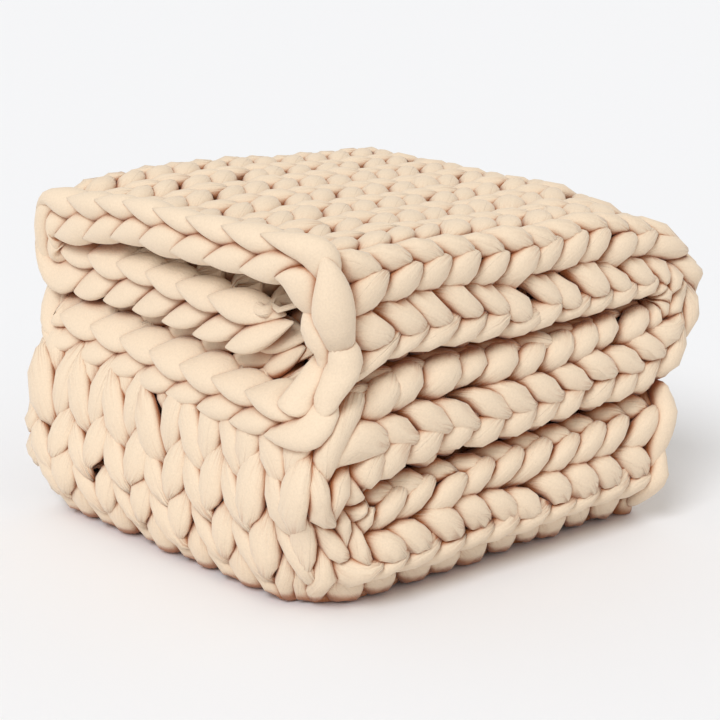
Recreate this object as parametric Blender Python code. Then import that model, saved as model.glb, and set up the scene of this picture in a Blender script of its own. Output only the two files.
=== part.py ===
"""A chunky hand-knit weighted blanket, folded into a stack.

The blanket is one knitted sheet about 1.36 m wide and 1.16 m long. It is folded twice. First its width:
both sides go under to the middle and the sheet is closed on itself, which gives a strip of four layers,
called A, B, C and D from its outer side down. Then its length: the strip goes back and forth in three
sections, one on the other. The solid is the sheet itself, so the layers are apart and every fold is a
real turn of it.

Run it with: blender --background --python part.py
"""

import math

import bpy

# Sizes in metres. x runs along the strip, y across it from its closed near edge, z is up from the floor.
MIDDLE_X = 0.2022  # the middle of the stack, which becomes the origin
MIDDLE_Y = 0.1794

# The folded width: four layers of sheet with small gaps, drawn at an even strip thickness.
STRIP_THICK = 0.090
SHEET_THICK = 0.0198
NEAR_TURN_Y = 0.046  # where layers A and D start to turn into each other at the closed near edge
FAR_TURN_Y = 0.336  # where A turns into B, and D into C, at the far edge
FAR_TURN_OUT = 0.0230  # how far the far turns stand out from there
NEAR_TURN_FULLNESS = 6.0  # 2 is an ellipse, more is squarer
FAR_TURN_FULLNESS = 2.0

# Heights of the middle of each layer, as shares of the strip's thickness.
LAYER_D, LAYER_C, LAYER_B, LAYER_A = 0.11, 0.37, 0.63, 0.89

# The knit's columns run along the strip. Each shows as a rib with a groove on both sides. The middle one
# runs down the crest of the near turn, and one more down each far turn.
COLUMNS_NEAR_TO_FAR = 8  # from crest to crest, across layer A or D
COLUMNS_PAST_FAR = 6.5  # from a far crest to the free edge of layer B or C, inside the near turn
COLUMNS = 29
RIB_SHOULDER = 0.28  # share of a column from its groove to where the rib is full
RIB_GROOVE = 0.0045
FREE_EDGE_GROOVE = 0.005

# The three sections of the strip: their undersides and top sides, and where the strip turns back.
BOTTOM_LOW, BOTTOM_HIGH = 0.0, 0.1085
MIDDLE_LOW, MIDDLE_HIGH = 0.1125, 0.1860
TOP_LOW, TOP_HIGH = 0.1900, 0.2640
LEFT_TURN_X = 0.054  # the turn from the middle section down into the bottom one
LEFT_TURN_OUT = 0.055
LEFT_TURN_FULLNESS = 2.6
RIGHT_TURN_X = 0.340  # the turn from the top section down into the middle one
RIGHT_TURN_OUT = 0.063
RIGHT_TURN_FULLNESS = 1.9
BOTTOM_END_X = 0.364

# The open end of the top section, on the left: the layers spread and the lowest droops over the turn.
OPEN_DROOP = 0.030
OPEN_RISE = 0.012
OPEN_LENGTH = 0.060
OPEN_LOW, OPEN_HIGH = 0.11, 0.907  # where the middles of D and A lie in its height, as shares of it
# How far each layer hangs below the straight line between those two, past the near turn.
OPEN_DIP = ((LAYER_D, 0.0), (LAYER_C, -0.108), (LAYER_B, -0.158), (LAYER_A, 0.0))
OPEN_DIP_FROM = 0.026  # from the near edge
OPEN_DIP_LENGTH = 0.024
OPEN_FAR_BACK = 0.012  # how much further back the far corner stands
OPEN_FAR_DROP = 0.015  # how much lower the far corner of its lip is
# How far the end of each layer stands back from the longest, at the open end and at the bottom section's.
OPEN_BACK = ((LAYER_D, 0.003), (LAYER_C, 0.022), (LAYER_B, 0.009), (LAYER_A, 0.0))
BOTTOM_BACK = ((LAYER_D, 0.0), (LAYER_C, 0.014), (LAYER_B, 0.013), (LAYER_A, 0.009))

# Unevenness of a soft stack.
SIDE_WANDER = 0.006
END_WANDER = 0.005
HEIGHT_WANDER = 0.014
SETTLE_WIDTH = 0.378
FAR_RISE = 0.008  # of the top's far edge, between the open end and the right turn
FAR_RISE_LENGTH = 0.18
LEFT_DROOP = 0.010  # the left end sinks on itself
LEFT_DROOP_LENGTH = 0.10
CREASE_DROP = ((0.0, 0.0), (0.11, 0.0215), (0.188, 0.0155), (0.264, 0.0))  # at the left, by height
CREASE_DROP_LENGTH = 0.32
CREASE_UNDER = 0.005  # the near face goes in by this much at each crease
CREASE_HIGH = 0.012
RIGHT_SINK = 0.002  # the top sinks towards its turn, more at the near side
RIGHT_SINK_NEAR = 0.020
RIGHT_SINK_WIDTH = 0.13
FOOT_UNDER = 0.034  # the near face goes under by this much where it meets the floor
FOOT_HIGH = 0.045
UNDER_LENGTH = 0.09
CORNER_IN = 0.016  # the left turn's near corner is round, seen from above
CORNER_REACH = 0.075

# How finely the solid is drawn.
SECTION_STEPS = 8
TURN_STEPS = 8
END_ROUND = 0.55  # the sheet's thickness at its two cut ends, as a share of the full one
END_ROUND_SHARE = 0.02  # the share of a section over which it thins
PURL_STEP = 0.060  # point spacing on the hidden purl side of the flat layers
NEAR_PURL_STEPS = 9
FAR_PURL_STEPS = 4

HALF = SHEET_THICK / 2


def mix(a, b, share):
    return a + (b - a) * share


def ease(share):
    share = min(max(share, 0.0), 1.0)
    return share * share * (3 - 2 * share)


def read_table(table, at):
    """The value at a place in a table of (place, value) rows, with straight runs between the rows."""
    for (a, low), (b, high) in zip(table, table[1:]):
        if at <= b:
            return mix(low, high, (at - a) / (b - a))
    return table[-1][1]


# ---------------------------------------------------------------- the folded width


def run(start, end, height, up):
    """A flat layer from start to end in y. up is 1 where its knit side faces up."""

    def point(share, off):
        return mix(start, end, share), height * STRIP_THICK + up * off

    return abs(end - start), point


def squared(angle, fullness):
    """Cosine and sine of an angle on a circle that is pressed towards a square."""
    out, rise, power = math.cos(angle), math.sin(angle), 2 / fullness
    return math.copysign(abs(out) ** power, out), math.copysign(abs(rise) ** power, rise)


def turn(centre_y, out, low, high, first_angle, fullness):
    """A half turn of the sheet between two layers, standing out to a middle line at `out`."""
    centre = (low + high) / 2 * STRIP_THICK
    rise = (high - low) / 2 * STRIP_THICK
    lengths, last = [(0.0, first_angle)], None
    for step in range(721):
        angle = first_angle + math.pi * step / 720
        across, up = squared(angle, fullness)
        here = (out * across, rise * up)
        if last:
            lengths.append((lengths[-1][0] + math.dist(last, here), angle))
        last = here
    total = lengths[-1][0]

    def point(share, off):
        across, up = squared(read_table(lengths, share * total), fullness)
        return centre_y + (out + off) * across, centre + (rise + off) * up

    return total, point


FAR_OUT = FAR_TURN_OUT - HALF
FAR_TURN_B = turn(FAR_TURN_Y, FAR_OUT, LAYER_B, LAYER_A, -math.pi / 2, FAR_TURN_FULLNESS)
FAR_TURN_C = turn(FAR_TURN_Y, FAR_OUT, LAYER_D, LAYER_C, -math.pi / 2, FAR_TURN_FULLNESS)
NEAR_TURN = turn(NEAR_TURN_Y, NEAR_TURN_Y - HALF, LAYER_D, LAYER_A, math.pi / 2, NEAR_TURN_FULLNESS)
COLUMN = (FAR_TURN_B[0] / 2 + FAR_TURN_Y - NEAR_TURN_Y + NEAR_TURN[0] / 2) / COLUMNS_NEAR_TO_FAR
FREE_EDGE_Y = FAR_TURN_Y + FAR_TURN_B[0] / 2 - COLUMNS_PAST_FAR * COLUMN

# The sheet's width, piece by piece, from the free edge of layer B round to the free edge of C.
WIDTH_PIECES = (
    run(FREE_EDGE_Y, FAR_TURN_Y, LAYER_B, -1),
    FAR_TURN_B,
    run(FAR_TURN_Y, NEAR_TURN_Y, LAYER_A, 1),
    NEAR_TURN,
    run(NEAR_TURN_Y, FAR_TURN_Y, LAYER_D, -1),
    FAR_TURN_C,
    run(FAR_TURN_Y, FREE_EDGE_Y, LAYER_C, 1),
)
TURNS = (FAR_TURN_B, NEAR_TURN, FAR_TURN_C)
FLAT_WIDTH = COLUMNS * COLUMN


def width_point(u, off):
    """(y, t) at u metres across the flat sheet and off metres towards its knit side."""
    for length, point in WIDTH_PIECES[:-1]:
        if u <= length:
            return point(u / length, off)
        u -= length
    length, point = WIDTH_PIECES[-1]
    return point(u / length, off)


def in_turn(u):
    for piece in WIDTH_PIECES:
        if u <= piece[0]:
            return piece in TURNS
        u -= piece[0]
    return False


def knit_side():
    """(u, off) of the points that draw the ribs: grooves between columns, and a full rib on each.

    The hidden layers B and C are flat, but for the column next to their far turn."""
    hidden = math.floor(COLUMNS_PAST_FAR)
    edge = HALF - FREE_EDGE_GROOVE
    rows = [(0.0, edge), (RIB_SHOULDER * COLUMN, HALF), (hidden / 2 * COLUMN, HALF)]
    for column in range(hidden, COLUMNS - hidden):
        rows.append((column * COLUMN, HALF - RIB_GROOVE))
        shares = (RIB_SHOULDER, 1 - RIB_SHOULDER)
        if in_turn((column + 0.5) * COLUMN):
            shares = (RIB_SHOULDER, 0.5, 1 - RIB_SHOULDER)
        rows += [((column + share) * COLUMN, HALF) for share in shares]
    rows.append(((COLUMNS - hidden) * COLUMN, HALF - RIB_GROOVE))
    rows += [((COLUMNS - hidden / 2) * COLUMN, HALF), ((COLUMNS - RIB_SHOULDER) * COLUMN, HALF)]
    return rows + [(FLAT_WIDTH, edge)]


def purl_side():
    """(u, off) of the points on the hidden side, fewer on the flat layers than in the turns."""
    rows, start = [], 0.0
    for piece in WIDTH_PIECES:
        steps = math.ceil(piece[0] / PURL_STEP)
        if piece in TURNS:
            steps = NEAR_PURL_STEPS if piece is NEAR_TURN else FAR_PURL_STEPS
        rows += [(start + piece[0] * step / steps, -HALF) for step in range(steps)]
        start += piece[0]
    return rows + [(FLAT_WIDTH, -HALF)]


# ---------------------------------------------------------------- the folded length


def strip_point(zone, share, y, w, layer):
    """(x, z) at a place along the strip.

    w is the height in the strip, from 0 on D's outer side to 1 on A's, and layer is that of the sheet's
    middle there."""
    if zone == "top":
        back = read_table(OPEN_BACK, layer) + OPEN_FAR_BACK * ease(y / 0.35)
        x = mix(back, RIGHT_TURN_X, share)
        low, high = TOP_LOW - OPEN_DROOP, TOP_HIGH + OPEN_RISE
        height = mix(OPEN_LOW, OPEN_HIGH, (layer - LAYER_D) / (LAYER_A - LAYER_D))
        height += read_table(OPEN_DIP, layer) * ease((y - OPEN_DIP_FROM) / OPEN_DIP_LENGTH)
        opened = mix(low, high, height) + (w - layer) * (TOP_HIGH - TOP_LOW)
        opened -= OPEN_FAR_DROP * ease((y - 0.20) / 0.14) * ease((layer - 0.5) / 0.3)
        return x, mix(mix(TOP_LOW, TOP_HIGH, w), opened, ease(1 - x / OPEN_LENGTH))
    if zone == "right turn":
        crease, reach = (TOP_LOW - MIDDLE_HIGH) / 2, (TOP_HIGH - TOP_LOW, MIDDLE_HIGH - MIDDLE_LOW)
        out, rise = half_turn(share, w, crease, RIGHT_TURN_OUT, reach, RIGHT_TURN_FULLNESS)
        return RIGHT_TURN_X + out, TOP_LOW - crease + rise
    if zone == "middle":
        return mix(RIGHT_TURN_X, LEFT_TURN_X, share), mix(MIDDLE_HIGH, MIDDLE_LOW, w)
    if zone == "left turn":
        crease, reach = (MIDDLE_LOW - BOTTOM_HIGH) / 2, (MIDDLE_HIGH - MIDDLE_LOW, BOTTOM_HIGH - BOTTOM_LOW)
        out, rise = half_turn(share, 1 - w, crease, LEFT_TURN_OUT, reach, LEFT_TURN_FULLNESS)
        return LEFT_TURN_X - out, MIDDLE_LOW - crease + rise
    end = BOTTOM_END_X - read_table(BOTTOM_BACK, layer)
    return mix(LEFT_TURN_X, end, share), mix(BOTTOM_LOW, BOTTOM_HIGH, w)


def half_turn(share, outward, crease, out_reach, reach, fullness):
    """(out, up) from the middle of the crease that a turn closes on. outward is 0 on its inner side."""
    out, rise = squared(math.pi * (0.5 - share), fullness)
    up_reach = reach[0] if rise > 0 else reach[1]
    return out * mix(crease, out_reach, outward), rise * (crease + outward * up_reach)


def stations():
    """(zone, share) along the strip, from the open end of the top section to the end of the bottom one."""
    rows = []
    for zone, steps in (("top", SECTION_STEPS), ("right turn", TURN_STEPS), ("middle", SECTION_STEPS),
                        ("left turn", TURN_STEPS), ("bottom", SECTION_STEPS)):
        rows += [(zone, step / steps) for step in range(steps)]
    return [rows[0], ("top", END_ROUND_SHARE)] + rows[1:] + [("bottom", 1 - END_ROUND_SHARE), ("bottom", 1.0)]


# ---------------------------------------------------------------- the stack's own unevenness


def settle(x, y, z):
    """Bends the ideal stack a little, as a soft one lies. The floor stays flat."""
    up = z / TOP_HIGH
    side = SIDE_WANDER * math.sin(9.0 * x + 11.0 * z + 0.6) * ease(up * 3)
    end = END_WANDER * math.sin(10.0 * y - 14.0 * z + 1.1) * ease(up * 3)
    hollow = 0.35 * math.cos(15.0 * (x - 0.05)) - 0.2 * math.sin(math.pi * y / SETTLE_WIDTH) - 0.15
    sag = HEIGHT_WANDER * up * hollow
    far = FAR_RISE * ease((up - 0.7) / 0.3) * ease((x - 0.02) / FAR_RISE_LENGTH) * ease((0.40 - x) / 0.22)
    droop = ease(1 - x / LEFT_DROOP_LENGTH) * ease((z - 0.04) / 0.09) * (1 - 0.5 * ease((z - 0.2) / 0.06))
    drop = read_table(CREASE_DROP, z) * (1 - min(max(x / CREASE_DROP_LENGTH, 0.0), 1.0))
    sink = RIGHT_SINK + RIGHT_SINK_NEAR * ease(1 - y / RIGHT_SINK_WIDTH)
    sink *= ease((x - 0.26) / 0.12) * ease((z - 0.17) / 0.09)
    under = FOOT_UNDER * ease(1 - z / FOOT_HIGH)
    for crease in (BOTTOM_HIGH + MIDDLE_LOW) / 2, (MIDDLE_HIGH + TOP_LOW) / 2:
        under += CREASE_UNDER * ease(1 - abs(z - crease) / CREASE_HIGH)
    corner = CORNER_IN * ease(1 - x / CORNER_REACH) * ease(1 - y / CORNER_REACH) * ease((0.125 - z) / 0.05)
    height = z + sag + far * ease(y / 0.30) - drop - sink - LEFT_DROOP * droop
    return x + end + corner, y + side + corner + under * ease(1 - y / UNDER_LENGTH), height


def place(station, u, off):
    y, t = width_point(u, off)
    layer = width_point(u, 0.0)[1] / STRIP_THICK
    x, z = strip_point(*station, y, t / STRIP_THICK, layer)
    x, y, z = settle(x, y, z)
    return x - MIDDLE_X, y - MIDDLE_Y, z


# ---------------------------------------------------------------- the solid


def zipper(first, second, first_u, second_u):
    """Triangles that close the strip between two rows of points which run side by side in u."""
    faces, a, b = [], 0, 0
    while a < len(first) - 1 or b < len(second) - 1:
        if b == len(second) - 1 or (a < len(first) - 1 and first_u[a + 1] <= second_u[b + 1]):
            faces.append((first[a], first[a + 1], second[b]))
            a += 1
        else:
            faces.append((first[a], second[b + 1], second[b]))
            b += 1
    return faces


def blanket_mesh():
    knit, purl = knit_side(), purl_side()
    ring = knit + purl[::-1]
    places = stations()
    points, faces = [], []
    for index, station in enumerate(places):
        end = index in (0, len(places) - 1)
        for u, off in ring:
            points.append(place(station, u, off * (END_ROUND if end else 1.0)))
    count = len(ring)
    for index in range(len(places) - 1):
        for k in range(count):
            a, b = index * count + k, index * count + (k + 1) % count
            faces.append((a, b, b + count, a + count))
    knit_u, purl_u = [u for u, _ in knit], [u for u, _ in purl]
    for index, flip in ((0, -1), (len(places) - 1, 1)):
        base = index * count
        first = [base + k for k in range(len(knit))]
        second = [base + count - 1 - k for k in range(len(purl))]
        faces += [face[::flip] for face in zipper(first, second, knit_u, purl_u)]
    mesh = bpy.data.meshes.new("blanket")
    mesh.from_pydata(points, [], faces)
    mesh.validate()
    return mesh


def knit_material():
    """Matte cotton jersey over a soft filling."""
    material = bpy.data.materials.new("stuffed jersey tube")
    material.use_nodes = True
    shader = material.node_tree.nodes["Principled BSDF"]
    shader.inputs["Base Color"].default_value = (0.80, 0.60, 0.42, 1.0)
    shader.inputs["Roughness"].default_value = 0.9
    shader.inputs["Metallic"].default_value = 0.0
    return material


def main():
    for old in list(bpy.data.objects):
        bpy.data.objects.remove(old)
    mesh = blanket_mesh()
    mesh.materials.append(knit_material())
    mesh.shade_smooth()
    mesh.set_sharp_from_angle(angle=math.radians(50))
    blanket = bpy.data.objects.new("blanket", mesh)
    bpy.context.scene.collection.objects.link(blanket)


main()
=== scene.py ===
# Folded weighted blanket, hand-knitted from one stuffed jersey tube.
import math

import bpy
import numpy as np
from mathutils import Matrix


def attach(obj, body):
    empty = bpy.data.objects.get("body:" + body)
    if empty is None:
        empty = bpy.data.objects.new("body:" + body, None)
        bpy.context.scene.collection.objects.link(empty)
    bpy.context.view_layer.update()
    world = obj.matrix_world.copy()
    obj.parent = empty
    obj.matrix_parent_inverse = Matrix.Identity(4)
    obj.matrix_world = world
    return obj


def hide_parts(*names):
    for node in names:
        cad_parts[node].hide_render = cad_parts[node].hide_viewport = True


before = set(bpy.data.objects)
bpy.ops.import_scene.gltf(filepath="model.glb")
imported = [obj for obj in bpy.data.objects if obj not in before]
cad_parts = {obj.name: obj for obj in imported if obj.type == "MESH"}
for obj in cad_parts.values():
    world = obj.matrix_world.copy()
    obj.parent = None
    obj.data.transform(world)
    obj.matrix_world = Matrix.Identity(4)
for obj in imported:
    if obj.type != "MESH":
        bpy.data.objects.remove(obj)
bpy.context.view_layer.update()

# The fold, in metres: x along the strip, y across it from its closed near edge, z up from the floor.
# The strip is the sheet with its sides folded in: layer D at the bottom, then C, B and A.
# Four values together are for D, C, B and A. Two are where a change starts and the length it takes.
# A turn of fullness 2 is round, and one of more is squarer.
fold = {
    "middleX": 0.2022, "middleY": 0.1794,  # the middle of the stack, which is the origin
    "stripThick": 0.090, "sheetThick": 0.0198,
    "layers": (0.11, 0.37, 0.63, 0.89),  # as shares of the strip's thickness
    "nearTurnY": 0.046, "nearTurnFullness": 6.0, "farTurnY": 0.336, "farTurnOut": 0.0230,
    "bottomLow": 0.0, "bottomHigh": 0.1085, "middleLow": 0.1125, "middleHigh": 0.1860,
    "topLow": 0.1900, "topHigh": 0.2640,
    "leftTurnX": 0.054, "leftTurnOut": 0.055, "leftTurnFullness": 2.6,
    "rightTurnX": 0.340, "rightTurnOut": 0.063, "rightTurnFullness": 1.9,
    "bottomEndX": 0.364, "bottomBack": (0.0, 0.014, 0.013, 0.009),
    # the open end of the top section gapes, and B and C hang lower in it
    "openLength": 0.060, "openDroop": 0.030, "openRise": 0.012,
    "openBack": (0.003, 0.022, 0.009, 0.0), "openFarBack": 0.012, "openFarBackY": (0.0, 0.35),
    "openLow": 0.11, "openHigh": 0.907,  # where D and A lie in its height, as shares
    "openDip": (0.0, -0.108, -0.158, 0.0), "openDipY": (0.026, 0.024),
    "openFarDrop": 0.015, "openFarDropY": (0.20, 0.14), "openFarDropLayer": (0.5, 0.3),
}

# The knit. Rows are counted from the open end of the top section to the end of the bottom one.
knit = {
    "columns": 29, "columnsNearToFar": 8, "columnsPastFar": 6.5,
    "rows": 39, "firstRow": 0.75,  # where the first row starts, in rows from the open end
    "rowsTop": 11.9, "rowsRightTurn": 3.8, "rowsMiddle": 10.1, "rowsLeftTurn": 4.2, "rowsBottom": 10.5,
    "turnStretch": 0.35,  # how many more rows the outer layer has round a turn, as a share
    "turnStretchColumns": 5.0,  # the rows even out over this many columns each side of the near crest
    "seed": 7, "wander": 0.0020, "plumpWander": 0.08, "legSkew": 0.0030,
    "calmRings": 3,  # the bars between stitches don't wander, and the legs do from this ring on
    "lappedFrom": 13, "lappedTo": 26,  # rows whose legs lap the other way
    "drift": ((0, 0.003), (8, 0.003), (20, 0.011), (26, 0.010), (31, 0.020)),  # columns' shift to A, by row
    # by row, how many more columns lie on the near face
    "crowd": ((0, 1.30), (3, 1.22), (8, 1.05), (13, 1.0), (26, 1.0), (30, 1.35), (40, 1.35)),
    "crowdFace": 1.4, "crowdFar": 7.0,  # the face reaches this many columns from its middle
    "plumpRows": ((23, 1.0), (25, 1.10), (27, 1.04), (32, 1.0)),  # the tube is looser round the left turn
    # how finely the tube is made, with fewer rings for the stitches that lie inside the strip
    "around": 16, "alongShown": 20, "alongHidden": 7, "barDetail": 0.35,
    "columnsShown": 9, "endRowsShown": 3,
    "loopRings": 6, "loopOut": 0.012, "loopRise": 0.004,  # the tube's turn into the next row
    "endRings": 26, "endThick": 0.35, "endPinch": 0.15, "tipThick": 0.3, "tipOut": 0.003,
}

# Half a stitch, from the bar behind the column's edge up its left leg to the bar behind its middle.
# across: share of a column from its middle; up: rows from the stitch's middle; front: metres towards the
# knit side; wide and deep: the tube's half width and half depth in metres; pinch: how gathered it is.
stitchPath = (
    # across, up, front, wide, deep, pinch
    (-0.500, -0.58, -0.0088, 0.0060, 0.0050, 0.3),
    (-0.250, -0.92, -0.0100, 0.0046, 0.0044, 0.6),
    (-0.050, -0.90, -0.0100, 0.0032, 0.0036, 1.0),
    (0.008, -0.80, -0.0094, 0.0034, 0.0042, 1.0),
    (-0.036, -0.58, -0.0054, 0.0068, 0.0068, 0.6),
    (-0.132, -0.29, -0.0002, 0.0106, 0.0092, 0.2),
    (-0.250, 0.01, 0.0038, 0.0122, 0.0102, 0.0),
    (-0.362, 0.30, 0.0058, 0.0104, 0.0092, 0.15),
    (-0.448, 0.54, 0.0060, 0.0066, 0.0068, 0.55),
    (-0.494, 0.74, 0.0044, 0.0032, 0.0040, 1.0),
    (-0.478, 0.86, -0.0046, 0.0028, 0.0032, 1.0),
    (-0.300, 0.92, -0.0096, 0.0042, 0.0042, 0.8),
    (0.000, 0.90, -0.0098, 0.0060, 0.0048, 0.3),
)


def mixed(a, b, share):
    return a + (b - a) * share


def eased(share):
    share = np.clip(share, 0.0, 1.0)
    return share * share * (3 - 2 * share)


def after(at, change):  # 0 before the change starts, 1 past its length
    start, length = change
    return eased((at - start) / length)


def readTable(table, at):
    places, values = zip(*table)
    return np.interp(at, places, values)


def byLayer(layer, values):
    return np.interp(layer, fold["layers"], values)


def lengthsAlong(path):
    return np.concatenate([[0], np.cumsum(np.linalg.norm(np.diff(path, axis=0), axis=1))])


# The width: from one free edge along B, back over it as A, round the near face, and under it as D and C.

layerD, layerC, layerB, layerA = fold["layers"]
half = fold["sheetThick"] / 2
turnSteps, evenSteps = 720, 200


def flatLayer(start, end, height, up):
    def point(share, off):
        return mixed(start, end, share), height * fold["stripThick"] + up * off

    return abs(end - start), point


def squared(angle, fullness):  # cosine and sine of a circle pressed towards a square
    out, rise = np.cos(angle), np.sin(angle)
    power = 2 / fullness
    return np.sign(out) * np.abs(out) ** power, np.sign(rise) * np.abs(rise) ** power


def halfTurn(centreY, out, low, high, firstAngle, fullness=2.0):
    centre = (low + high) / 2 * fold["stripThick"]
    rise = (high - low) / 2 * fold["stripThick"]
    angles = firstAngle + np.linspace(0, math.pi, turnSteps + 1)
    length = lengthsAlong(np.stack(squared(angles, fullness), 1) * [out, rise])

    def point(share, off):
        across, up = squared(np.interp(share * length[-1], length, angles), fullness)
        return centreY + (out + off) * across, centre + (rise + off) * up

    return length[-1], point


farOut, nearOut = fold["farTurnOut"] - half, fold["nearTurnY"] - half
farTurnB = halfTurn(fold["farTurnY"], farOut, layerB, layerA, -math.pi / 2)
farTurnC = halfTurn(fold["farTurnY"], farOut, layerD, layerC, -math.pi / 2)
nearTurn = halfTurn(fold["nearTurnY"], nearOut, layerD, layerA, math.pi / 2, fold["nearTurnFullness"])
nearToFar = farTurnB[0] / 2 + fold["farTurnY"] - fold["nearTurnY"] + nearTurn[0] / 2
columnWide = nearToFar / knit["columnsNearToFar"]
rowTall = fold["rightTurnX"] / knit["rowsTop"]
flatWidth = knit["columns"] * columnWide
freeEdgeY = fold["farTurnY"] + farTurnB[0] / 2 - knit["columnsPastFar"] * columnWide
widthPieces = (
    flatLayer(freeEdgeY, fold["farTurnY"], layerB, -1),
    farTurnB,
    flatLayer(fold["farTurnY"], fold["nearTurnY"], layerA, 1),
    nearTurn,
    flatLayer(fold["nearTurnY"], fold["farTurnY"], layerD, -1),
    farTurnC,
    flatLayer(fold["farTurnY"], freeEdgeY, layerC, 1),
)


def widthPoint(u, off):  # y and the height in an even strip, for places u across the sheet
    y, t, start = np.zeros_like(u), np.zeros_like(u), 0.0
    for index, (length, point) in enumerate(widthPieces):
        inside = np.ones(u.shape, bool)
        if index:
            inside &= u > start
        if index < len(widthPieces) - 1:
            inside &= u <= start + length
        y[inside], t[inside] = point((u[inside] - start) / length, off[inside])
        start += length
    return y, t


# The length: top section, right turn, middle section, left turn and bottom section, as zones 0 to 4.


def turned(share, fullness):  # cosine and sine of a half turn from straight up to straight down
    return squared(math.pi * (0.5 - share), fullness)


def evenTurn(outReach, upReach, downReach, fullness):  # the share of a half turn for each share of its length
    share = np.linspace(0, 1, evenSteps + 1)
    out, rise = turned(share, fullness)
    length = lengthsAlong(np.stack([out * outReach, rise * np.where(rise > 0, upReach, downReach)], 1))
    return length / length[-1], share


topTall = fold["topHigh"] - fold["topLow"]
middleTall = fold["middleHigh"] - fold["middleLow"]
bottomTall = fold["bottomHigh"] - fold["bottomLow"]
rightEven = evenTurn(fold["rightTurnOut"], topTall, middleTall, fold["rightTurnFullness"])
leftEven = evenTurn(fold["leftTurnOut"], middleTall, bottomTall, fold["leftTurnFullness"])


def alongStrip(row, u):  # zone number plus share of the zone, for rows counted along the strip
    fromCrest = (flatWidth / 2 - u) / columnWide
    outer = eased(0.5 + fromCrest / (2 * knit["turnStretchColumns"]))  # 1 on layer A, 0 on layer D
    lean = knit["turnStretch"] * (2 * outer - 1)
    rows = (knit["rowsTop"], knit["rowsRightTurn"] * (1 + lean), knit["rowsMiddle"],
            knit["rowsLeftTurn"] * (1 - lean), knit["rowsBottom"])
    along, start = row / rows[0], np.zeros_like(row)
    for zone, count in enumerate(rows):
        along = np.where((row > start) | (zone == 0), zone + (row - start) / count, along)
        start = start + count
        if zone < len(rows) - 1:
            along = np.minimum(along, zone + 1)
    return along


def topSection(share, y, w, layer):  # x and z, with its open end at the left
    back = byLayer(layer, fold["openBack"]) + fold["openFarBack"] * after(y, fold["openFarBackY"])
    x = mixed(back, fold["rightTurnX"], share)
    opened = eased(1 - x / fold["openLength"])
    low, high = fold["topLow"] - fold["openDroop"], fold["topHigh"] + fold["openRise"]
    place = mixed(fold["openLow"], fold["openHigh"], (layer - layerD) / (layerA - layerD))
    place += byLayer(layer, fold["openDip"]) * after(y, fold["openDipY"])
    gaping = mixed(low, high, place) + (w - layer) * topTall
    z = mixed(mixed(fold["topLow"], fold["topHigh"], w), gaping, opened)
    farCorner = after(y, fold["openFarDropY"]) * after(layer, fold["openFarDropLayer"])
    return x, z - fold["openFarDrop"] * opened * farCorner


def rightTurn(share, y, w, layer):
    out, rise = turned(np.interp(share, *rightEven), fold["rightTurnFullness"])
    crease = (fold["topLow"] - fold["middleHigh"]) / 2
    x = fold["rightTurnX"] + out * mixed(crease, fold["rightTurnOut"], w)
    tall = np.where(rise > 0, topTall, middleTall)
    return x, fold["topLow"] - crease + rise * (crease + w * tall)


def middleSection(share, y, w, layer):
    return (mixed(fold["rightTurnX"], fold["leftTurnX"], share),
            mixed(fold["middleHigh"], fold["middleLow"], w))


def leftTurn(share, y, w, layer):
    out, rise = turned(np.interp(share, *leftEven), fold["leftTurnFullness"])
    crease = (fold["middleLow"] - fold["bottomHigh"]) / 2
    x = fold["leftTurnX"] - out * mixed(crease, fold["leftTurnOut"], 1 - w)
    tall = np.where(rise > 0, middleTall, bottomTall)
    return x, fold["middleLow"] - crease + rise * (crease + (1 - w) * tall)


def bottomSection(share, y, w, layer):
    end = fold["bottomEndX"] - byLayer(layer, fold["bottomBack"])
    return mixed(fold["leftTurnX"], end, share), mixed(fold["bottomLow"], fold["bottomHigh"], w)


def stripPoint(along, y, w, layer):  # w: a share of the strip's height; layer: that of the sheet's middle
    zones = (topSection, rightTurn, middleSection, leftTurn, bottomSection)
    zone = np.clip(np.floor(along), 0, len(zones) - 1)
    x, z = np.zeros_like(w), np.zeros_like(w)
    for index, section in enumerate(zones):
        here = zone == index
        x[here], z[here] = section(along[here] - index, y[here], w[here], layer[here])
    return x, z


# How the soft stack settles, in metres. A wave has radians a metre along it and a metre up, and its start.
settle = {
    "sideWander": 0.006, "sideWave": (9.0, 11.0, 0.6), "endWander": 0.005, "endWave": (10.0, -14.0, 1.1),
    "fullWander": 1 / 3,  # share of the height where the wander is full, from none at the floor
    # the top's slow waves, as shares of heightWander: ridges along the strip, a dish across it, and all of it
    "heightWander": 0.014, "ridge": 0.35, "ridgeTurn": 15.0, "ridgeX": 0.05,
    "dish": 0.2, "dishWidth": 0.378, "lower": 0.15,
    # the top's far side stands a little higher in the middle
    "farRise": 0.008, "farRiseUp": (0.7, 0.3), "farRiseX": (0.02, 0.18), "farRiseEndX": (0.18, 0.22),
    "farRiseY": (0.0, 0.30),
    # the near face goes under where it meets the floor, and goes in at each crease
    "footUnder": 0.034, "footHigh": 0.045, "creaseUnder": 0.005, "creaseHigh": 0.012, "underWidth": 0.09,
    "cornerIn": 0.016, "cornerReach": 0.075, "cornerZ": (0.075, 0.05),  # the left turn's round near corner
    # the top sinks towards its turn, more at the near side
    "rightSink": 0.002, "rightSinkX": (0.26, 0.12), "rightSinkZ": (0.17, 0.09),
    "rightSinkNear": 0.020, "rightSinkNearWidth": 0.13,
    # the creases drop towards the left, by height
    "creaseDrop": ((0.0, 0.0), (0.11, 0.0215), (0.188, 0.0155), (0.264, 0.0)), "creaseDropLength": 0.32,
    # the left end sinks on itself, by a smaller share at the top
    "leftDroop": 0.010, "leftDroopLength": 0.10, "leftDroopZ": (0.04, 0.09),
    "leftDroopTopLess": 0.5, "leftDroopTopZ": (0.2, 0.06),
    # tubes lying on the floor flatten over this height, and press is how hard
    "floorGive": 0.006, "floorPress": 2.2,
}


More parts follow.
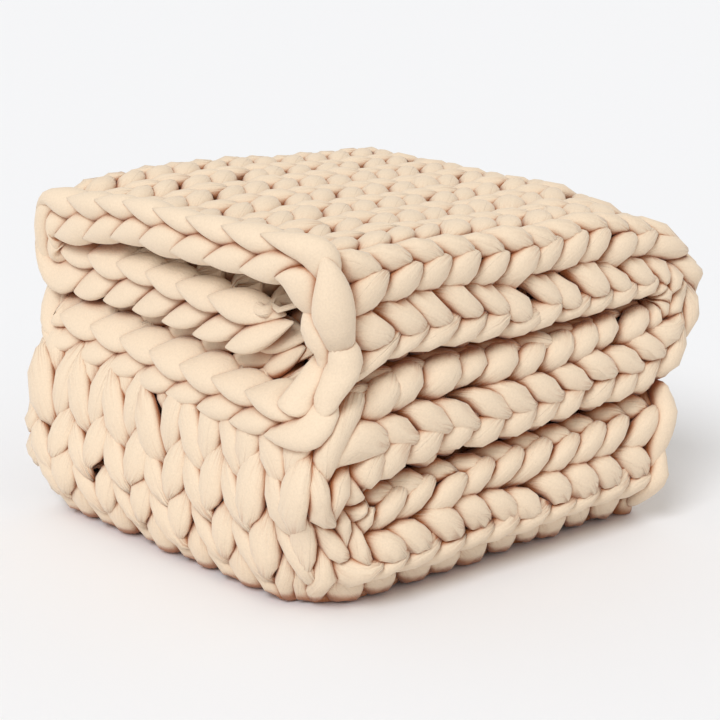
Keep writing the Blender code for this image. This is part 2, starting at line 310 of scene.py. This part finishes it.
def wave(turns, along, up):
    turnAlong, turnUp, start = turns
    return np.sin(turnAlong * along + turnUp * up + start)


def settled(x, y, z):  # bends the ideal stack a little, as a soft one lies
    up = z / fold["topHigh"]
    steady = eased(up / settle["fullWander"])
    end = settle["endWander"] * wave(settle["endWave"], y, z) * steady
    side = settle["sideWander"] * wave(settle["sideWave"], x, z) * steady

    under = settle["footUnder"] * eased(1 - z / settle["footHigh"])
    for crease in (fold["bottomHigh"] + fold["middleLow"]) / 2, (fold["middleHigh"] + fold["topLow"]) / 2:
        under += settle["creaseUnder"] * eased(1 - np.abs(z - crease) / settle["creaseHigh"])
    side += under * eased(1 - y / settle["underWidth"])
    corner = settle["cornerIn"] * eased(1 - x / settle["cornerReach"]) * eased(1 - y / settle["cornerReach"])
    corner *= 1 - after(z, settle["cornerZ"])

    ridge = settle["ridge"] * np.cos(settle["ridgeTurn"] * (x - settle["ridgeX"]))
    dish = settle["dish"] * np.sin(math.pi * y / settle["dishWidth"])
    sag = settle["heightWander"] * up * (ridge - dish - settle["lower"])
    sinks = after(x, settle["rightSinkX"]) * after(z, settle["rightSinkZ"])
    nearSink = settle["rightSinkNear"] * eased(1 - y / settle["rightSinkNearWidth"])
    sag -= sinks * (settle["rightSink"] + nearSink)
    sag -= readTable(settle["creaseDrop"], z) * (1 - np.clip(x / settle["creaseDropLength"], 0, 1))
    droop = eased(1 - x / settle["leftDroopLength"]) * after(z, settle["leftDroopZ"])
    sag -= settle["leftDroop"] * droop * (1 - settle["leftDroopTopLess"] * after(z, settle["leftDroopTopZ"]))
    sag += (settle["farRise"] * after(up, settle["farRiseUp"]) * after(x, settle["farRiseX"])
            * (1 - after(x, settle["farRiseEndX"])) * after(y, settle["farRiseY"]))
    z = z + sag

    give, press = settle["floorGive"], settle["floorPress"]
    z = np.where(z < give, give * np.exp(np.minimum(z / give - 1, 0)) - give * math.exp(-press), z)
    return x + end + corner, y + side + corner, np.maximum(z, 0.0)


def crowded(u, row):  # where the strip is tall, more of its columns lie on the near face
    crowd, away = readTable(knit["crowd"], row), (u - flatWidth / 2) / columnWide
    face, far = knit["crowdFace"], knit["crowdFar"]
    beyond = face + (np.abs(away) - face * crowd) * (far - face) / (far - face * crowd)
    moved = np.where(np.abs(away) < face * crowd, np.abs(away) / crowd, beyond)
    moved = np.where(np.abs(away) < far, moved, np.abs(away))
    return flatWidth / 2 + np.sign(away) * moved * columnWide


def foldedPoints(u, row, off):  # places on the flat knit, as points of the folded stack
    lying = crowded(u, row)
    y, t = widthPoint(lying, off)
    layer = widthPoint(lying, np.zeros_like(off))[1] / fold["stripThick"]
    x, z = stripPoint(alongStrip(row, u), y, t / fold["stripThick"], layer)
    x, y, z = settled(x, y, z)
    return np.stack([x - fold["middleX"], y - fold["middleY"], z], 1)


# The tube that is knitted.


def smoothThrough(points, count):  # a smooth curve through the points, count places on each of its spans
    ends = np.vstack([2 * points[0] - points[1], points, 2 * points[-1] - points[-2]])
    rows = []
    for k in range(1, len(ends) - 2):
        a, b, c, d = ends[k - 1:k + 3]
        for s in np.arange(count[k - 1]) / count[k - 1]:
            rows.append(0.5 * (2 * b + (c - a) * s + (2 * a - 5 * b + 4 * c - d) * s * s
                               + (3 * b - a - 3 * c + d) * s ** 3))
    return np.array(rows + [points[-1]])


def tubeRings(centre, wide, deep, around):  # rings round a path in (u, along, front), flat ellipses
    tangent = np.gradient(centre, axis=0)
    tangent /= np.linalg.norm(tangent, axis=1)[:, None] + 1e-12
    side = np.stack([-tangent[:, 1], tangent[:, 0], np.zeros(len(centre))], 1)
    side /= np.linalg.norm(side, axis=1)[:, None] + 1e-12
    front = np.cross(tangent, side)
    front *= np.where(front[:, 2] < 0, -1, 1)[:, None]
    angle = np.arange(around) * 2 * math.pi / around
    return (centre[:, None] + side[:, None] * (wide[:, None] * np.cos(angle))[..., None]
            + front[:, None] * (deep[:, None] * np.sin(angle))[..., None])


class TubeMesh:  # gathers tubes and makes one object of them
    def __init__(self):
        self.points, self.sides, self.caps, self.sideMaps, self.capMaps = [], [], [], [], []
        self.pinches, self.count = [], 0

    def add(self, path):  # path: u, along, front, wide, deep and pinch of each ring
        length = lengthsAlong(path[:, :3])
        rings = tubeRings(path[:, :3], path[:, 3], path[:, 4], knit["around"])
        many, around = rings.shape[:2]
        flat = rings.reshape(-1, 3)
        self.points.append(foldedPoints(flat[:, 0], flat[:, 1] / rowTall, flat[:, 2]))
        self.pinches.append(np.repeat(path[:, 5], around))
        a = np.arange((many - 1) * around).reshape(many - 1, around)
        b = np.roll(a, -1, axis=1)
        self.sides.append(np.stack([a, b, b + around, a + around], 2).reshape(-1, 4) + self.count)
        k = np.arange(around) / around
        low, high = np.repeat(length[:-1], around), np.repeat(length[1:], around)
        left, right = np.tile(k, many - 1), np.tile(k + 1 / around, many - 1)
        self.sideMaps.append(np.stack([low, left, low, right, high, right, high, left], 1).reshape(-1, 2))
        first = np.arange(around) + self.count
        self.caps += [first[::-1], first + (many - 1) * around]
        self.capMaps += [np.full((around, 2), [length[0], 0.0]), np.full((around, 2), [length[-1], 0.0])]
        self.count += many * around

    def build(self, name, material):
        points, sides = np.vstack(self.points), np.vstack(self.sides)
        corners = np.concatenate([sides.ravel()] + self.caps)
        sizes = np.concatenate([np.full(len(sides), 4), [len(cap) for cap in self.caps]])
        mesh = bpy.data.meshes.new(name)
        mesh.vertices.add(len(points))
        mesh.vertices.foreach_set("co", points.astype(np.float32).ravel())
        mesh.loops.add(len(corners))
        mesh.loops.foreach_set("vertex_index", corners.astype(np.int32))
        mesh.polygons.add(len(sizes))
        mesh.polygons.foreach_set("loop_start", (np.cumsum(sizes) - sizes).astype(np.int32))
        mesh.update(calc_edges=True)
        layer = mesh.uv_layers.new(name="tube")
        layer.data.foreach_set("uv", np.vstack(self.sideMaps + self.capMaps).astype(np.float32).ravel())
        attribute = mesh.attributes.new("pinch", "FLOAT", "POINT")
        attribute.data.foreach_set("value", np.concatenate(self.pinches).astype(np.float32))
        mesh.polygons.foreach_set("use_smooth", np.ones(len(sizes), bool))
        mesh.materials.append(material)
        piece = bpy.data.objects.new(name, mesh)
        bpy.context.scene.collection.objects.link(piece)
        return piece


# The rows of stitches.


def stitchShape(along, lappedDown=False):  # a whole stitch from bar to bar
    rows = np.array(stitchPath)
    if lappedDown:  # each leg lies over the one below it, not over the one above
        leg = slice(2, -2)
        rows[leg, 2:] = rows[leg, 2:][::-1]
    mirror = rows[-2::-1] * [-1, 1, 1, 1, 1, 1]
    whole = np.vstack([rows, mirror])
    spans = np.linalg.norm(np.diff(whole[:, :2], axis=0) * [columnWide, rowTall], axis=1)
    spansEach = len(rows) - 1
    bars = np.isin(np.arange(len(spans)) % spansEach, (0, 1, spansEach - 2, spansEach - 1))
    spans[bars] *= knit["barDetail"]
    weight = np.clip(spans / spans.sum() * along, 1, None)
    return smoothThrough(whole, np.maximum(1, np.round(weight)).astype(int))


shownStitch, hiddenStitch = stitchShape(knit["alongShown"]), stitchShape(knit["alongHidden"])
lappedStitch = stitchShape(knit["alongShown"], lappedDown=True)
random = np.random.default_rng(knit["seed"])


def knitRow(row):  # the tube's path through one row: u, along, front, wide, deep, pinch
    pieces = []
    for column in range(knit["columns"]):
        shape = lappedStitch if knit["lappedFrom"] <= row < knit["lappedTo"] else shownStitch
        inside = abs(column + 0.5 - knit["columns"] / 2) > knit["columnsShown"]
        if inside and knit["endRowsShown"] <= row < knit["rows"] - knit["endRowsShown"]:
            shape = hiddenStitch
        if column:
            shape = shape[1:]
        ring = np.arange(len(shape))
        calm = np.clip(np.minimum(ring, len(shape) - 1 - ring) / knit["calmRings"], 0, 1)
        left = ring < len(shape) / 2
        move = random.normal(0, knit["wander"], (2, 2))
        plump = readTable(knit["plumpRows"], row) * (1 + random.normal(0, knit["plumpWander"], 2))
        across = (column + 0.5 + shape[:, 0]) * columnWide + calm * np.where(left, move[0, 0], move[1, 0])
        along = (row + knit["firstRow"] + 0.5 + shape[:, 1]) * rowTall
        along += calm * np.where(left, move[0, 1] + knit["legSkew"], move[1, 1] - knit["legSkew"])
        across -= readTable(knit["drift"], along / rowTall)
        thick = mixed(1.0, np.where(left, plump[0], plump[1]), calm)
        pieces.append(np.column_stack([across, along, shape[:, 2], shape[:, 3] * thick, shape[:, 4] * thick,
                                       shape[:, 5]]))
    return np.vstack(pieces)


def edgeLoop(before, following):  # the tube turning into the next row at a side edge
    share = np.linspace(0, 1, knit["loopRings"] + 2)[1:-1]
    loop = mixed(before, following, eased(share)[:, None])
    outward = np.sign(before[0] - flatWidth / 2)
    loop[:, 0] += outward * knit["loopOut"] * np.sin(math.pi * share)
    loop[:, 2] += knit["loopRise"] * np.sin(math.pi * share)
    return loop


def tucked(path):  # both ends of the tube run out thin and unpuckered, in behind the edge
    rings = knit["endRings"]
    fade = np.linspace(knit["endThick"], 1, rings)
    path[:rings, 3:5] *= fade[:, None]
    path[-rings:, 3:5] *= fade[::-1, None]
    path[:rings, 5] = path[-rings:, 5] = knit["endPinch"]
    tips = path[[0, -1]].copy()
    tips[:, 3:5] *= knit["tipThick"]
    tips[:, 0] += np.sign(tips[:, 0] - flatWidth / 2) * knit["tipOut"]
    return np.vstack([tips[:1], path, tips[1:]])


def knitRows(first, end):  # rows worked back and forth in one tube
    path = None
    for row in range(first, end):
        stitches = knitRow(row)
        if row % 2:
            stitches = stitches[::-1]
        path = stitches if path is None else np.vstack([path, edgeLoop(path[-1], stitches[0]), stitches])
    return tucked(path)


# The plaited chain along both ends of the sheet, in metres, with each leaf's shares.
chain = {
    "leafLong": 0.043, "lap": 0.30, "rings": 19, "edgeSteps": 2000,
    "thick": 0.0118, "tipThick": 0.0006,
    "fullestLate": 1.08, "fullness": 0.9,  # powers: over 1 is fullest past the middle, under 1 is blunter
    "edgeIn": 0.0115,  # how far in from the edge its middle lies
    "apart": 0.0085, "overHang": 0.45,  # half of what parts its two rows, and the share that hangs out
    "tilt": 0.8, "tiltOnTurn": 0.6, "tuck": 0.012,  # how a leaf crosses from one side to the other
    "hiddenThinner": 0.22, "hiddenColumns": 2,  # the leaves thin out over these columns inside the strip
    "tipPinch": 0.2, "pinchPower": 3,
}


def edgeChain(edge, outward):  # the paths of two rows of leaves that lap along the edge like a plait
    u = np.linspace(0, flatWidth, chain["edgeSteps"] + 1)
    length = lengthsAlong(foldedPoints(u, np.full(u.shape, edge / rowTall), np.zeros(u.shape)))
    leaves = round(length[-1] / chain["leafLong"])
    share = (1 - np.cos(np.linspace(0, math.pi, chain["rings"]))) / 2
    swell = np.maximum(np.sin(math.pi * share ** chain["fullestLate"]), 0.0) ** chain["fullness"]
    for leaf in range(leaves):
        for side in (1, -1):
            grow = 1 + random.normal(0, knit["plumpWander"])
            middle = leaf + (0.5 if side > 0 else 1.0)
            start, end = np.clip([middle - 0.5 - chain["lap"], middle + 0.5 + chain["lap"]], 0, leaves)
            place = np.interp(mixed(start, end, share) / leaves * length[-1], length, u)
            y = widthPoint(place[[0, -1]], np.zeros(2))[0]
            lean = np.clip((y[0] - y[1]) / chain["leafLong"], -1, 1)
            tilt = chain["tilt"] * mixed(chain["tiltOnTurn"], lean, abs(lean))
            apart = chain["apart"] * (1 + tilt * (1 - 2 * share))
            columnsAway = np.abs(place - flatWidth / 2) / columnWide
            hidden = eased((columnsAway - knit["columnsNearToFar"]) / chain["hiddenColumns"])
            thick = chain["tipThick"] + chain["thick"] * grow * swell * (1 - chain["hiddenThinner"] * hidden)
            inward = chain["edgeIn"] - chain["overHang"] * apart + lean * chain["tuck"] * (share - 0.5)
            pinch = chain["tipPinch"] * np.abs(2 * share - 1) ** chain["pinchPower"]
            yield np.column_stack([place, edge - outward * inward, side * apart, thick, thick, pinch])


# Materials.

cloth = {
    # the crease colour is painted shade: a warm brown mixed into the cloth where little light reaches,
    # between the tubes and in the wrinkles
    "colour": "#E6D0B5", "creaseShadeColour": "#A8602A",
    "creaseShadeReach": 0.013, "creaseShadeFrom": 0.80, "creaseShadeTo": 0.30,  # how open a place is where the painted crease shade starts and where it is full
    "shade": 0.035, "shadesPerMetre": 16.0,  # slow changes of brightness along the tube
    "grain": 0.0015, "grainDeep": 0.00030,  # one loop of the fine jersey, in metres
    "grainShade": 0.16,  # how much the loops change the brightness, from light to dark
    "tubeRadius": 0.0112,
    "gather": 0.0045, "gathersPerMetre": 14.0,  # a wrinkle's width, and how often one ends along the tube
    "gatherDeep": 0.0055, "gatherOnBelly": 0.05,
    # painted shade in the wrinkles at the gathered tips: how strong, how wide a line, and how fast it grows
    # with the pinch
    "gatherShade": 0.9, "gatherShadeWidth": 0.05, "gatherShadeTipPower": 1.2,
    "seamAt": 0.17, "seamWide": 0.008, "seamDeep": 0.0002,  # the tube's own seam, as shares of the way round
}


def linear(code):  # an sRGB hex colour as linear values
    parts = [int(code[k:k + 2], 16) / 255 for k in (1, 3, 5)]
    return [c / 12.92 if c <= 0.04045 else ((c + 0.055) / 1.055) ** 2.4 for c in parts] + [1.0]


def addNode(tree, kind, settings=None, links=None):
    node = tree.nodes.new(kind)
    for name, value in (settings or {}).items():
        if name in node.inputs.keys():
            node.inputs[name].default_value = value
        else:
            setattr(node, name, value)
    for name, source in (links or {}).items():
        tree.links.new(source, node.inputs[name])
    return node


def jerseyMaterial():  # cotton jersey stretched over a soft filling: matte, with a little nap
    material = bpy.data.materials.new("cottonJerseyTube")
    material.use_nodes = True
    tree = material.node_tree
    shader = tree.nodes["Principled BSDF"]
    shader.inputs["Roughness"].default_value = 0.85
    shader.inputs["Sheen Weight"].default_value = 0.2
    shader.inputs["Sheen Roughness"].default_value = 0.5

    def worked(kind, *values):  # the result of a math node on numbers or sockets
        node = addNode(tree, "ShaderNodeMath", {"operation": kind})
        for slot, value in enumerate(values):
            if isinstance(value, (int, float)):
                node.inputs[slot].default_value = value
            else:
                tree.links.new(value, node.inputs[slot])
        return node.outputs[0]

    def falling(value, over):  # 1 where the value is 0, falling to 0 at "over"
        return worked("SUBTRACT", 1.0, worked("MINIMUM", worked("DIVIDE", value, over), 1.0))

    # places on the tube, wrapped so that nothing shows where the way round starts again
    tube = addNode(tree, "ShaderNodeUVMap", {"uv_map": "tube"})
    parts = addNode(tree, "ShaderNodeSeparateXYZ", links={"Vector": tube.outputs["UV"]})
    along, around = parts.outputs["X"], parts.outputs["Y"]
    turn = worked("MULTIPLY", around, 2 * math.pi)
    wrinklesRound = cloth["tubeRadius"] / cloth["gather"]
    wrapped = addNode(tree, "ShaderNodeCombineXYZ", links={
        "X": worked("MULTIPLY", worked("COSINE", turn), wrinklesRound),
        "Y": worked("MULTIPLY", worked("SINE", turn), wrinklesRound),
        "Z": worked("MULTIPLY", along, cloth["gathersPerMetre"])})
    place = addNode(tree, "ShaderNodeTexCoord").outputs["Object"]
    pinch = addNode(tree, "ShaderNodeAttribute", {"attribute_name": "pinch"}).outputs["Fac"]

    # wrinkles run along the tube where it is gathered, and fade on its belly
    wrinkle = addNode(tree, "ShaderNodeTexNoise", {"Scale": 1.0, "Detail": 2.0, "Roughness": 0.6},
                      {"Vector": wrapped.outputs[0]}).outputs["Fac"]
    ridge = worked("ABSOLUTE", worked("SUBTRACT", wrinkle, 0.5))
    gathered = worked("MULTIPLY_ADD", pinch, 1 - cloth["gatherOnBelly"], cloth["gatherOnBelly"])
    gathers = worked("MULTIPLY", worked("MULTIPLY", ridge, gathered), cloth["gatherDeep"])
    grain = addNode(tree, "ShaderNodeTexNoise", {"Scale": 1 / cloth["grain"], "Detail": 1.0},
                    {"Vector": place}).outputs["Fac"]
    grainHeight = worked("MULTIPLY", grain, cloth["grainDeep"])
    fromSeam = worked("ABSOLUTE", worked("SUBTRACT", around, cloth["seamAt"]))
    seamHeight = worked("MULTIPLY", falling(fromSeam, cloth["seamWide"]), -cloth["seamDeep"])
    height = worked("ADD", worked("ADD", gathers, grainHeight), seamHeight)
    bump = addNode(tree, "ShaderNodeBump", {"Strength": 1.0, "Distance": 1.0}, {"Height": height})
    tree.links.new(bump.outputs[0], shader.inputs["Normal"])

    # the cloth's colour, with slow changes and the speckle of its loops
    slow = addNode(tree, "ShaderNodeTexNoise", {"Scale": cloth["shadesPerMetre"], "Detail": 2.0},
                   {"Vector": place}).outputs["Fac"]
    shade = worked("MULTIPLY_ADD", slow, 2 * cloth["shade"], 1 - cloth["shade"])
    speck = worked("MULTIPLY_ADD", grain, cloth["grainShade"], 1 - cloth["grainShade"] / 2)
    shaded = addNode(tree, "ShaderNodeHueSaturation", {"Color": linear(cloth["colour"])},
                     {"Value": worked("MULTIPLY", shade, speck)})

    # painted shade: the colour runs to a warm brown where the tubes close in on each other and in the valleys
    # of the wrinkles at the gathered tips, standing in for the shade there
    openness = addNode(tree, "ShaderNodeAmbientOcclusion", {"samples": 8, "Distance": cloth["creaseShadeReach"]})
    limits = {"From Min": cloth["creaseShadeFrom"], "From Max": cloth["creaseShadeTo"], "To Min": 0.0, "To Max": 1.0}
    # deep: how much painted crease shade a place gets, from how closed in it is
    deep = addNode(tree, "ShaderNodeMapRange", limits, {"Value": openness.outputs["AO"]}).outputs["Result"]
    # painted shade: the valleys of the wrinkles darken towards the crease colour, more where the tube is
    # pinched
    tips = worked("MULTIPLY", worked("POWER", pinch, cloth["gatherShadeTipPower"]), cloth["gatherShade"])
    gatherShadeLines = worked("MULTIPLY", falling(ridge, cloth["gatherShadeWidth"]), tips)
    colour = addNode(tree, "ShaderNodeMix", {"data_type": "RGBA"})
    tree.links.new(worked("MINIMUM", worked("ADD", deep, gatherShadeLines), 1.0), colour.inputs["Factor"])
    tree.links.new(shaded.outputs[0], colour.inputs[6])  # the two colours to mix are its sockets 6 and 7
    colour.inputs[7].default_value = linear(cloth["creaseShadeColour"])
    tree.links.new(colour.outputs[2], shader.inputs["Base Color"])
    return material


def backdropMaterial(code):  # matte paper, so that only a soft shadow shows
    material = bpy.data.materials.new("paperBackdrop")
    material.use_nodes = True
    shader = material.node_tree.nodes["Principled BSDF"]
    shader.inputs["Base Color"].default_value = linear(code)
    shader.inputs["Roughness"].default_value = 0.9
    return material


# The blanket.

print("knitting the rows")
jersey = jerseyMaterial()
pieces = []
groups = 5
for group in range(groups):
    tubes = TubeMesh()
    tubes.add(knitRows(group * knit["rows"] // groups, (group + 1) * knit["rows"] // groups))
    pieces.append(tubes.build(f"knitRows{group + 1}", jersey))

print("working the edges")
lastRow = sum(knit[name] for name in ("rowsTop", "rowsRightTurn", "rowsMiddle", "rowsLeftTurn", "rowsBottom"))
tubes = TubeMesh()
for edge, outward in ((0.0, -1), (lastRow * rowTall, 1)):
    for path in edgeChain(edge, outward):
        tubes.add(path)
pieces.append(tubes.build("edgeChains", jersey))

for piece in pieces:
    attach(piece, "root")
    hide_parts("blanket")
    print(piece.name, sum(len(p.vertices) - 2 for p in piece.data.polygons), "triangles")

# Floor, light and camera.

studio = {
    "floorSize": 12, "floorColour": "#F1F1F3", "skyColour": "#FFFEFB", "skyStrength": 0.70,
    "lightFrom": (-0.67, -0.35, 0.66), "lightColour": "#F8FBFF", "lightStrength": 1.80, "lightSoftness": 24.0,
}
view = {"place": (-1.0177, -1.1299, 0.5308), "azimuth": -41.85, "down": 14.93, "lens": 99.8, "sensor": 36.0}

print("setting the floor, light and camera")
bpy.ops.object.select_all(action="DESELECT")
bpy.ops.mesh.primitive_plane_add(size=studio["floorSize"], location=(0, 0, 0))
floor = bpy.context.object
floor.name = "floor"
floor.data.materials.append(backdropMaterial(studio["floorColour"]))

world = bpy.data.worlds.new("studio")
bpy.context.scene.world = world
world.use_nodes = True
sky = world.node_tree.nodes["Background"]
sky.inputs["Color"].default_value = linear(studio["skyColour"])
sky.inputs["Strength"].default_value = studio["skyStrength"]

lamp = bpy.data.lights.new("softKey", "SUN")
lamp.color = linear(studio["lightColour"])[:3]
lamp.energy, lamp.angle = studio["lightStrength"], math.radians(studio["lightSoftness"])
light = bpy.data.objects.new("softKey", lamp)
x, y, z = studio["lightFrom"]
light.rotation_euler = (math.atan2(math.hypot(x, y), z), 0, math.atan2(y, x) + math.pi / 2)
bpy.context.scene.collection.objects.link(light)

camera = bpy.data.objects.new("camera", bpy.data.cameras.new("camera"))
camera.data.lens, camera.data.sensor_width = view["lens"], view["sensor"]
camera.location = view["place"]
camera.rotation_euler = (math.radians(90 - view["down"]), 0, math.radians(view["azimuth"]))
bpy.context.scene.collection.objects.link(camera)
bpy.context.scene.camera = camera
bpy.context.scene.view_settings.view_transform = "Standard"
